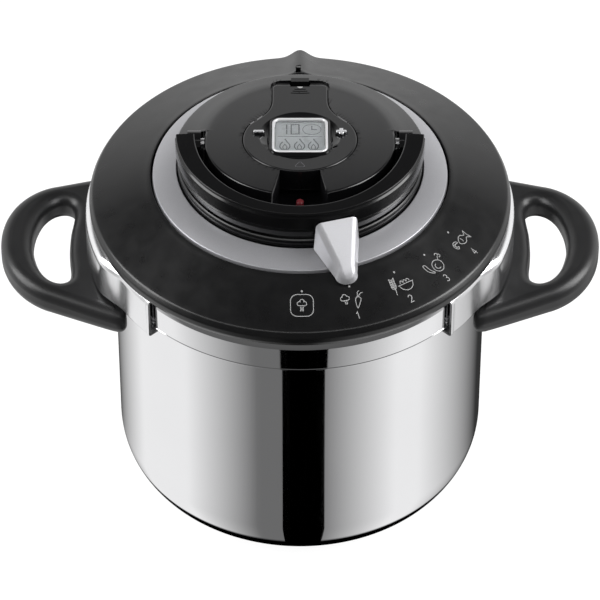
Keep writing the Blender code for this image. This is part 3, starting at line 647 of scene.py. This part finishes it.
def timer_outline(grow=0.0):
    """Plan of the timer: a disc with a neck towards the back."""
    r, half, end, corner = 33.7 + grow, 16.5 + grow, 58.5 + grow, 3.0
    start = math.degrees(math.atan2(16.0, 29.5))
    disc = [polar(r, a)[:2] for a in arc_angles(-90, start, 44)]
    x, y = disc[-1]
    waist = bezier((x, y), (x - 6, y + 7), (half, 29.0 + grow * 0.3), (half, 42), 14)[1:]
    neck = arc(half - corner, end - corner, corner, corner, 0, 90, 6)
    half_outline = disc + waist + [(half, 42)] + neck
    return half_outline + [(-x, y) for x, y in reversed(half_outline[1:])]


def make_crown(m):
    crown = solid("crown", crown_block(), m["face"])
    boolean(crown, turned([(30.0, 223.9), (73.9, 223.9), (73.9, 226.0), (30.0, 226.0)]), "UNION")
    boolean(crown, turned([(68.6, 220), (95, 220), (95, 226.5), (68.6, 226.5)]))
    boolean(crown, turned([(62.0, 226.4), (72.2, 226.4), (72.2, 229.6), (62.0, 229.6)]))
    boolean(crown, tilted(prism(timer_outline(0.5), -14.5, 20)))
    boolean(crown, rod(33.0, 220, 227.0, sides=96))
    pocket = rounded([(-11.3, -30), (-16.8, -58), (16.8, -58), (11.3, -30)], [0, 3, 3, 0], 5)
    boolean(crown, prism(pocket, 229.0, 270))
    boolean(crown, rod(5.0, 220, 240, 0.0, -50.0))
    boolean(crown, tilted(prism(rounded_box(17.6, 8.4, 6.0, (0, 57.9)), -3.2, 20)))
    boolean(crown, tilted(block((-6.2, 57.0, -7.0), (6.2, 66.2, 20))))
    soften(crown, 0.3, 2, 50)
    fit(crown, "lid", "black_gloss", "hub_crown")


# ---- lock handle and selector ----


def make_lock_handle(m):
    rings = []
    foot, top = GRIP_FOOT_Z, GRIP_TOP_Z
    for a in arc_angles(-178, -2, 120):
        inner = 65.3 - 3.3 * abs(math.cos(a)) ** 2
        corners = [(inner, top), (GRIP_R - 0.7, top - 0.3), (GRIP_R - 0.5, top - 1.8)]
        corners += [(GRIP_R - 1.1, top - 2.3), (GRIP_R, top - 3.6), (GRIP_R - 0.1, foot + 7.0)]
        corners += [(GRIP_R - 1.2, foot + 5.6), (GRIP_R - 0.5, foot + 4.6)]
        corners += [(GRIP_R - 1.6, foot), (inner + 2.0, foot), (inner + 0.6, foot + 4.0)]
        section = rounded(corners, [1.1, 0.5, 0.3, 0.25, 0.6, 0.4, 0.3, 0.3, 0.6, 0.6, 1.0], 4)
        rings.append([polar(r, a, z) for r, z in section])
    handle = solid("lock_bail", loft(rings), m["gloss"])
    for sign in (-1, 1):
        ends = sorted((sign * 58.5, sign * 66.5))
        boolean(handle, cross_rod(7.5, *ends), "UNION")
        lug = block((ends[0] + 0.2, -6.0, PIVOT_Z - 5.5), (ends[1] - 0.2, 3.0, PIVOT_Z + 5.5))
        boolean(handle, lug, "UNION")
        boolean(handle, cross_rod(3.3, ends[0] - 3, ends[1] + 3))
    soften(handle, 0.5, 3, 50)
    fit(handle, "lock", "black_gloss", "lock_handle")


def cross_rod(radius, x0, x1):
    """A round bar along X on the lock handle's pivot axis."""
    ring = [(PIVOT_Y + radius * math.cos(a), PIVOT_Z + radius * math.sin(a)) for a in circle_angles(48)]
    return loft([[(x, y, z) for y, z in ring] for x in (x0, x1)])


def make_selector(m):
    (r1, z1), (r0, z0) = RING_OUTER, RING_INNER
    corners = [(r0, z0), (r1 - 0.7, z1 + 0.3), (r1, z1 - 3.0), (r0, z0 - 3.0)]
    ring = rounded(corners, [0.5, 0.6, 0.4, 0.4], 5)
    fit(solid("ring", turned(ring), m["silver"]), "selector", "silver_grey", "selector_ring")

    root, tip, round_r = 74.1, 99.5, 5.6
    stations = [(root + (tip - round_r - root) * k / 8, 1.0) for k in range(9)]
    stations += [(tip - round_r + round_r * math.sin(a), math.cos(a)) for a in arc_angles(8, 84, 10)]
    rings = []
    for r, narrow in stations:
        along = (min(r, tip - round_r) - root) / (tip - round_r - root)
        half = (12.6 + (round_r - 12.6) * along) * narrow
        foot = 224.6 - (r - root) * 0.352
        top = 244.0 - (r - root) * 0.93 - 1.6 * (1 - narrow) ** 1.5
        skirt, edge = half + 1.2 * narrow, min(3.6, half * 0.6)
        right = arc(half - edge, top - edge, edge, edge, 0, 90, 6)
        section = [(-skirt, foot), (skirt, foot)] + right + [(-x, z) for x, z in reversed(right)]
        rings.append([(x, -r, z) for x, z in section])
    lever = loft(rings)
    bmesh.ops.transform(lever, matrix=Matrix.Rotation(math.radians(LEVER_ANGLE), 4, "Z"), verts=lever.verts)
    arm = soften(solid("lever", lever, m["lever"], 50), 0.3, 2, 50)
    fit(arm, "selector", "silver_grey", "selector_lever")


# ---- timer ----

LCD = (16.5, 18.0, 5.0, (0.0, 2.5))  # half sizes, corner radius and centre


def lcd_outline(grow):
    half_x, half_y, radius, centre = LCD
    return rounded_box(half_x + grow, half_y + grow, radius + grow, centre, 10)


def make_timer(m):
    case = solid("timer_shell", tilted(prism(timer_outline(), -14.0, 0.0)), m["case"])
    settle(soften(case, 0.9, 4, 50, even=False))
    oval = [(24.0 * math.cos(a), 3.5 + 25.0 * math.sin(a)) for a in circle_angles(96)]
    sinks = ((0.72, -2.0), (0.8, -1.9), (0.92, -1.2), (1.0, -0.1), (1.06, 1.2))
    bowl = [[(x * s, 3.5 + (y - 3.5) * s, w) for x, y in oval] for s, w in sinks]
    boolean(case, tilted(loft(bowl)))
    rise = [(3.4, -2.6), (3.3, -2.1), (2.2, -1.2), (1.6, -0.2), (1.3, 0.9), (0.9, 1.15)]
    boolean(case, tilted(loft([[(x, y, w) for x, y in lcd_outline(g)] for g, w in rise])), "UNION")
    boolean(case, tilted(prism(lcd_outline(0.3), -6.0, 20)))
    for _, outline in key_outlines(3.5, 1.6):
        boolean(case, tilted(prism(outline, -3.5, 20)))
    boolean(case, tilted(rod(1.5, -2.5, 20, 20.6, -7.5)))
    boolean(case, tilted(block((-5.8, 56.5, -10), (5.8, 62, 20))))
    for k in range(3):
        v, half = 53.3 - 2.1 * k, 3.4 + 1.1 * k
        line = [(x, v + 0.35 * (x / half) ** 2) for x in (half * (i / 6 - 1) for i in range(13))]
        groove = [(x, y + 0.42) for x, y in line] + [(x, y - 0.42) for x, y in reversed(line)]
        boolean(case, tilted(prism(groove, -0.7, 5)))
    soften(case, 0.18, 2, 50)
    fit(case, "timer", "black_gloss", "timer_case")

    ring = [(0.0, -2.5), (0.0, 1.0), (-0.4, 1.4), (-1.1, 1.4), (-1.5, 1.0), (-1.5, -2.5)]
    bezel = tilted(loft([[(x, y, w) for x, y in lcd_outline(g)] for g, w in ring], closed_path=True))
    fit(solid("lcd_bezel", bezel, m["bezel"]), "timer", "chrome_trim", "timer_bezel")
    pane = tilted(prism(lcd_outline(-1.8), -1.0, 0.3))
    fit(soften(solid("lcd_window", pane, m["window"]), 0.2, 2, 50), "timer", "window", "timer_window")
    panel = tilted(prism(lcd_outline(-1.8), -3.4, -1.45))
    fit(soften(solid("lcd_panel", panel, m["lcd"]), 0.3, 2, 50), "timer", "display", "timer_display")
    make_lcd_signs(m)
    make_buttons(m)
    mark = rounded(arc(0.0, 0.0, 1.7, 1.6, -180, 0, 12), 0.2, 2)
    dot = tilted(prism([(x, y + 56.3) for x, y in mark], -0.5, 0.12))
    fit(solid("catch_mark", dot, m["print"]), "timer", "polished_steel")


def key_outlines(arm, bar):
    """Plans of the plus and the minus button, which are also the plans of the wells they sink into."""
    plus = [(bar, bar), (bar, arm), (-bar, arm), (-bar, bar), (-arm, bar), (-arm, -bar)]
    plus += [(-bar, -bar), (-bar, -arm), (bar, -arm), (bar, -bar), (arm, -bar), (arm, bar)]
    minus = [(arm, bar), (-arm, bar), (-arm, -bar), (arm, -bar)]
    return [
        ("plus", [(x + BUTTON_X, y + BUTTON_Y) for x, y in plus]),
        ("minus", [(x - BUTTON_X, y + BUTTON_Y) for x, y in minus]),
    ]


def make_buttons(m):
    for name, outline in key_outlines(3.1, 1.2):
        shape = tilted(prism(outline, -2.2, 1.8))
        key = soften(solid(f"{name}_cap", shape, m["chrome"]), 0.5, 3, 40)
        fit(key, f"{name}_key", "chrome_trim", f"{name}_button")


# ---- flat signs ----


def ribbon(bm, path, width, place, closed=False):
    """Adds a thin flat strip along a path. place maps a point of the drawing and a height onto the piece."""
    points = [Vector(p) for p in path]
    count = len(points)
    rings = []
    for i, here in enumerate(points):
        before = points[i - 1] if closed or i else here
        after = points[(i + 1) % count] if closed or i < count - 1 else here
        first, second = (here - before), (after - here)
        first = first.normalized() if first.length else second.normalized()
        second = second.normalized() if second.length else first
        middle = (first + second).normalized() if (first + second).length > 1e-6 else first
        side = Vector((-middle.y, middle.x)) * (width / 2) / max(0.5, middle.dot(first))
        a, b = here + side, here - side
        rings.append([place(a, 0.05), place(b, 0.05), place(b, -0.1), place(a, -0.1)])
    made = [[bm.verts.new(p) for p in ring] for ring in rings]
    pairs = list(zip(made, made[1:])) + ([(made[-1], made[0])] if closed else [])
    for one, two in pairs:
        for k in range(4):
            j = (k + 1) % 4
            bm.faces.new((one[k], one[j], two[j], two[k]))
    if not closed:
        bm.faces.new(made[0])
        bm.faces.new(made[-1])


def numeral(digit, x, y, height):
    """A plain numeral, as open paths in a box half as wide as it is high."""
    w, h = height * 0.26, height / 2
    shapes = {
        1: [[(-w * 0.7, h * 0.45), (w * 0.2, h), (w * 0.2, -h)]],
        2: [arc(0, h * 0.45, w, h * 0.55, 170, -30, 10) + [(-w, -h), (w, -h)]],
        3: [arc(0, h * 0.5, w * 0.9, h * 0.5, 150, -90, 9) + arc(0, -h * 0.5, w, h * 0.5, 90, -150, 9)[1:]],
        4: [[(w * 0.4, -h), (w * 0.4, h), (-w, -h * 0.35), (w, -h * 0.35)]],
    }
    return [[(px + x, py + y) for px, py in path] for path in shapes[digit]]


def pictograms():
    """Open and closed line drawings for the steam release and the four programs, about 12 mm across."""
    puff = arc(-1.4, 0.9, 1.1, 1.1, 60, 290, 10) + arc(1.4, 0.9, 1.1, 1.1, -110, 120, 10)
    puff += arc(0, 2.1, 1.2, 1.1, 10, 170, 8)
    steam = [(rounded_box(6.0, 5.85, 3.5), True), (puff, True)]
    steam += [([(x, -0.6), (x * 0.6, -1.9), (x * 0.9, -3.2)], False) for x in (-0.9, 0.0, 0.9)]
    sprout = arc(-5.4, 1.7, 1.2, 1.1, 80, 280, 8) + arc(-3.0, 1.6, 1.2, 1.1, -100, 90, 8)
    sprout += arc(-4.2, 2.9, 1.2, 1.0, 10, 170, 7)
    carrot = [(1.1, -4.6), (1.0, -0.6), (1.9, 1.1), (3.2, 1.2), (4.1, 0.1), (3.6, -1.2)]
    leaves = [([(2.6, 1.6), (3.1, 3.6), (4.2, 4.4)], False), ([(3.1, 1.5), (4.6, 3.0), (5.9, 3.1)], False)]
    stem = [(-4.6, 0.7), (-4.5, -1.3), (-3.7, -1.3), (-3.6, 0.7)]
    greens = [(sprout, True), (stem, False), (smooth_closed(carrot, 4), True)]
    grain = [([(-5.6, -4.0), (-4.4, 0.0), (-4.0, 4.2)], False)]
    for k in range(4):
        x, y = -4.9 + 0.28 * k, -1.0 + 1.35 * k
        for husk in (((1.1, 0.9), (1.5, 2.0), (0.4, 1.2)), ((-1.1, 1.0), (-1.2, 2.1), (-0.3, 1.3))):
            grain.append((smooth_closed([(x, y)] + [(x + dx, y + dy) for dx, dy in husk], 3), True))
    bowl = [(arc(2.2, 0.0, 4.0, 3.8, 180, 360, 14) + [(-1.8, 0.0)], False)]
    bowl += [([(-2.4, 0.0), (6.8, 0.0)], False)]
    bowl += [(arc(0.3 + 1.9 * k, 0.4, 0.9, 1.6, 10, 170, 8), False) for k in range(3)]
    pod = [(-5.9, 3.2), (-6.0, 0.9), (-5.2, -1.3), (-3.4, -2.9)]
    pod += [(-2.7, -2.6), (-3.8, -0.9), (-4.3, 1.2), (-4.6, 3.0)]
    roast = [(-1.6, -1.8), (-1.2, 0.9), (0.9, 2.3), (3.4, 1.9)]
    roast += [(4.9, 0.2), (4.6, -2.2), (2.6, -3.9), (0.0, -3.7)]
    meal = [(smooth_closed(pod, 3), True), (smooth_closed(roast, 4), True)]
    meal += [(arc(1.6, -1.0, 1.7, 1.5, 100, 300, 10), False), ([(3.9, 1.5), (5.5, 3.4)], False)]
    meal += [(arc(5.4, 4.2, 0.9, 0.8, -60, 170, 8), False), (arc(6.3, 3.2, 0.8, 0.9, 100, -120, 8), False)]
    fish = [(-1.4, -0.4), (0.6, 1.8), (3.0, 2.1), (5.0, 0.6), (6.9, 2.6)]
    fish += [(6.6, 0.0), (7.0, -2.6), (5.0, -0.9), (2.8, -2.3), (0.4, -2.2)]
    prawn = arc(-3.9, 0.1, 2.1, 2.2, 20, 250, 14) + [(-3.6, -1.0)] + arc(-3.9, 0.1, 1.0, 1.0, 240, 40, 10)
    return (
        steam,
        greens + leaves,
        grain + bowl,
        meal,
        [(smooth_closed(fish, 3), True), (arc(0.7, 0.0, 0.9, 1.3, -60, 60, 6), False), (prawn, True)]
        + [([(-5.3, 1.6 - k), (-4.5, 1.0 - 0.7 * k)], False) for k in range(3)],
    )


def on_cover(angle, radius):
    """Places a drawing on the cover, upright towards the axis, at an angle from the front in degrees."""
    a = math.radians(angle)
    out, across = Vector((math.sin(a), -math.cos(a), 0)), Vector((math.cos(a), math.sin(a), 0))

    def place(p, height):
        spot = out * (radius - p[1]) + across * p[0]
        return spot + UP * (cone_z(spot.length) + height)

    return place


def make_marks(m):
    bm = bmesh.new()
    for number, (angle, drawing) in enumerate(zip(MARK_ANGLES, pictograms())):
        scale = 1.1
        place = on_cover(angle, 107.8)
        for path, closed in drawing:
            ribbon(bm, [(x * scale, y * scale) for x, y in path], 0.4, place, closed)
        ribbon(bm, arc(0, 0, 0.34, 0.34, 0, 330, 11), 0.5, on_cover(angle, 99.5), True)
        if number:
            for path in numeral(number, 0, 0, 4.2):
                ribbon(bm, path, 0.45, on_cover(angle, 117.0))
    fit(solid("program_marks", bm, m["print"]), "lid", "black_satin")


def on_panel(height):
    def place(p, rise):
        spot = Vector((p[0], p[1], height + rise))
        spot.rotate(Matrix.Rotation(-CROWN_TILT, 3, "X"))
        return spot + UP * CROWN_CENTRE_Z

    return place


def make_lcd_signs(m):
    """Ten minutes, a clock and three flames, in the faint ink of a liquid crystal panel."""
    bm = bmesh.new()
    place = on_panel(-1.42)
    ribbon(bm, [(-13.0, 3.5), (13.0, 3.5)], 0.3, place)
    for y0, y1 in ((11.5, 16.2), (6.2, 10.9)):
        ribbon(bm, [(-7.9, y0), (-7.9, y1)], 0.8, place)
    ribbon(bm, [(-5.2, 6.2), (-5.2, 16.2), (-0.6, 16.2), (-0.6, 6.2)], 0.75, place, True)
    ribbon(bm, arc(7.0, 11.0, 5.4, 5.4, 0, 350, 35), 0.35, place, True)
    ribbon(bm, [(7.0, 14.8), (7.0, 11.0), (10.0, 11.0)], 0.65, place)
    for x in (-8.9, -0.3, 7.9):
        flame = [(x, 1.0), (x + 1.3, -2.0), (x + 2.8, -5.0), (x + 3.0, -7.6), (x + 1.9, -10.0)]
        ribbon(bm, flame + [(2 * x - px, py) for px, py in reversed(flame[1:])], 0.7, place)
        core = [(x, -4.6), (x + 1.3, -7.6), (x + 0.9, -9.8)]
        ribbon(bm, [(2 * x - px, py) for px, py in reversed(core[1:])] + core, 0.55, place)
    fit(solid("lcd_signs", bm, m["lcd_ink"]), "timer", "display")
    sign = bmesh.new()
    triangle = rounded([(-3.4, -29.6), (3.4, -29.6), (0, -23.6)], [1.0, 1.0, 0.8], 4)
    ribbon(sign, triangle, 0.45, on_panel(0.02), True)
    fit(solid("timer_sign", sign, m["dim_print"]), "timer", "black_gloss")


def main():
    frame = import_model()
    m = make_materials()
    make_camera()
    make_stage()
    make_pan(m)
    make_side_handles(m)
    make_lid(m)
    make_cover(m)
    make_jaws(m)
    make_hub(m)
    make_crown(m)
    make_lock_handle(m)
    make_selector(m)
    make_timer(m)
    make_marks(m)
    finish_cad_nodes(frame, m)


def finish_cad_nodes(frame, m):
    """Gives each node that still shows the finish of its slot."""
    finish = {
        "polished_steel": "steel", "plain_steel": "plain_steel", "black_satin": "cover",
        "black_gloss": "gloss", "bakelite": "bakelite", "silver_grey": "silver",
        "chrome_trim": "chrome", "display": "lcd",
        "window": "window", "red_plastic": "red", "seal_rubber": "rubber", "board": "board",
    }
    for part in frame["record"]["subparts"]:
        node = frame["nodes"][part["node"]]
        node.data.materials.clear()
        node.data.materials.append(m[finish[part["material_slot"]]])


# ---- stage ----


def make_camera():
    data = bpy.data.cameras.new("camera")
    data.sensor_width = 36.0
    data.lens = 234.5
    data.clip_end = 20
    camera = bpy.data.objects.new("camera", data)
    bpy.context.scene.collection.objects.link(camera)
    reach, height, elevation = 2.401, 0.109, math.radians(43.3)
    camera.location = (0, -reach * math.cos(elevation), height + reach * math.sin(elevation))
    camera.rotation_euler = (math.radians(90 - 43.05), 0, 0)
    bpy.context.scene.camera = camera
    bpy.context.scene.view_settings.view_transform = "Standard"


def glow(name, strength):
    made = bpy.data.materials.new(name)
    made.use_nodes = True
    tree = made.node_tree
    tree.nodes.clear()
    out = tree.nodes.new("ShaderNodeOutputMaterial")
    light = tree.nodes.new("ShaderNodeEmission")
    light.inputs["Color"].default_value = (1, 1, 1, 1)
    light.inputs["Strength"].default_value = strength
    tree.links.new(light.outputs[0], out.inputs["Surface"])
    return made


def make_floor():
    mesh = bpy.data.meshes.new("floor")
    bm = bmesh.new()
    bmesh.ops.create_circle(bm, cap_ends=True, radius=8, segments=96)
    bm.to_mesh(mesh)
    bm.free()
    floor = bpy.data.objects.new("floor", mesh)
    bpy.context.scene.collection.objects.link(floor)
    made = new_material("floor_white", (0.12, 0.12, 0.12), 0.9)
    shader = made.node_tree.nodes["Principled BSDF"]
    shader.inputs["Emission Color"].default_value = (1, 1, 1, 1)
    shader.inputs["Emission Strength"].default_value = 0.96
    mesh.materials.append(made)
    floor.visible_glossy = False


# The reflector's light, by angle from the pan's front in degrees. Each soft panel has the angles where it
# starts, where it is full from and to, and where it ends.
SOFT_PANELS = ((-86.0, -59.0, -38.0, -8.0), (0.0, 31.0, 40.0, 77.0))
PANEL_LIGHT = 0.93
DARK_GAP = (-5.45, 7.65)
DIM_HALF, DIM_LIGHT = 13.0, 0.16  # faint light beside the gap
EDGE_LIGHT = 0.035  # fainter still, beyond the panels


def shade_at(angle):
    """Light of the reflector at an angle: two soft panels on either side of a dark gap."""
    if DARK_GAP[0] < angle < DARK_GAP[1]:
        return 0.0
    light = DIM_LIGHT if abs(angle) < DIM_HALF else EDGE_LIGHT
    for start, full_from, full_to, end in SOFT_PANELS:
        rise = (angle - start) / (full_from - start)
        fall = (end - angle) / (end - full_to)
        light = max(light, PANEL_LIGHT * min(1.0, rise, fall))
    return light


def make_reflector():
    """A card on the floor that only reflections show. A ray from the camera that meets the pan's side at an
    angle leaves it at twice that angle, so the card's shades fan out along those lines and show upright."""
    bm = bmesh.new()
    layer = bm.verts.layers.float.new("shade")
    steps = [-24.0, 0.0, 4.0, 12.0, 40.0, 100.0, 200.0, 330.0]
    sharp = [edge + shift for edge in DARK_GAP for shift in (-0.05, 0.05)]
    angles = sorted([k * 1.5 - 90 for k in range(121)] + sharp)
    rows = []
    for angle in angles:
        a = math.radians(angle)
        foot = Vector((math.sin(a), -math.cos(a), 0)) * (PAN_R - 2)
        away = Vector((math.sin(2 * a), -math.cos(2 * a), 0))
        row = []
        for s in steps:
            v = bm.verts.new((foot + away * s + UP * 0.8) * MM)
            v[layer] = shade_at(angle) if s > 0 else 0.0
            row.append(v)
        rows.append(row)
    for left, right in zip(rows, rows[1:]):
        for i in range(len(steps) - 1):
            bm.faces.new((left[i], left[i + 1], right[i + 1], right[i]))
    mesh = bpy.data.meshes.new("reflector")
    bm.to_mesh(mesh)
    bm.free()
    card = bpy.data.objects.new("reflector", mesh)
    bpy.context.scene.collection.objects.link(card)
    made = glow("reflector_glow", 1.0)
    tree = made.node_tree
    shade = tree.nodes.new("ShaderNodeAttribute")
    shade.attribute_name = "shade"
    tree.links.new(shade.outputs["Fac"], tree.nodes["Emission"].inputs["Strength"])
    mesh.materials.append(made)
    card.visible_camera = card.visible_diffuse = card.visible_shadow = card.visible_transmission = False


def curve(tree, value, stops):
    """Maps a value from -1 to 1 onto a grey by these (value, grey) stops."""
    scaled = spread(tree, value, 0.0, 1.0, -1.0, 1.0)
    ramp = tree.nodes.new("ShaderNodeValToRGB")
    tree.links.new(scaled, ramp.inputs["Fac"])
    ends = ramp.color_ramp.elements
    for element, (place, grey) in zip((ends[0], ends[1]), (stops[0], stops[-1])):
        element.position, element.color = (place + 1) / 2, (grey, grey, grey, 1)
    for place, grey in stops[1:-1]:
        ends.new((place + 1) / 2).color = (grey, grey, grey, 1)
    return ramp.outputs["Color"]


def make_world():
    """A white studio, bright behind the object up to a low edge, dark overhead and dim in front."""
    world = bpy.data.worlds.new("studio")
    bpy.context.scene.world = world
    world.use_nodes = True
    tree = world.node_tree
    point = tree.nodes.new("ShaderNodeTexCoord")
    split = tree.nodes.new("ShaderNodeSeparateXYZ")
    tree.links.new(point.outputs["Generated"], split.inputs["Vector"])
    height_stops = ((-1.0, 0.0), (-0.9, 0.0), (-0.6, 0.8), (0.0, 1.0), (0.4, 0.95), (0.56, 0.12), (1.0, 0.1))
    height = curve(tree, split.outputs["Z"], height_stops)
    depth_stops = ((-1.0, 0.1), (-0.45, 0.15), (-0.05, 0.8), (0.2, 1.0), (1.0, 1.0))
    depth = curve(tree, split.outputs["Y"], depth_stops)
    mix = tree.nodes.new("ShaderNodeMix")
    mix.data_type, mix.blend_type = "RGBA", "MULTIPLY"
    mix.inputs["Factor"].default_value = 1.0
    tree.links.new(height, mix.inputs["A"])
    tree.links.new(depth, mix.inputs["B"])
    strip = tree.nodes.new("ShaderNodeMix")
    strip.data_type = "RGBA"
    strip.inputs["B"].default_value = (2.6, 2.6, 2.6, 1)
    strip_stops = ((-1.0, 0.0), (-0.6, 0.0), (-0.55, 1.0), (-0.4, 1.0), (-0.34, 0.0), (1.0, 0.0))
    above = curve(tree, split.outputs["Z"], ((-1.0, 0.0), (0.55, 0.0), (0.65, 1.0), (1.0, 1.0)))
    band = tree.nodes.new("ShaderNodeMath")
    band.operation = "MULTIPLY"
    tree.links.new(curve(tree, split.outputs["Y"], strip_stops), band.inputs[0])
    tree.links.new(above, band.inputs[1])
    tree.links.new(band.outputs[0], strip.inputs["Factor"])
    tree.links.new(mix.outputs["Result"], strip.inputs["A"])
    tree.links.new(strip.outputs["Result"], tree.nodes["Background"].inputs["Color"])
    tree.nodes["Background"].inputs["Strength"].default_value = 1.0


def add_light(name, place, target, size, energy):
    data = bpy.data.lights.new(name, "AREA")
    data.shape, data.size, data.size_y, data.energy = "RECTANGLE", size[0], size[1], energy
    light = bpy.data.objects.new(name, data)
    bpy.context.scene.collection.objects.link(light)
    light.location = place
    light.rotation_euler = (Vector(target) - Vector(place)).to_track_quat("-Z", "Y").to_euler()


def make_stage():
    make_world()
    make_floor()
    make_reflector()
    add_light("left_box", (-1.5, -0.1, 1.1), (0, 0, 0.2), (1.0, 1.4), 26)
    add_light("right_box", (1.5, -0.1, 1.1), (0, 0, 0.2), (1.0, 1.4), 34)


main()
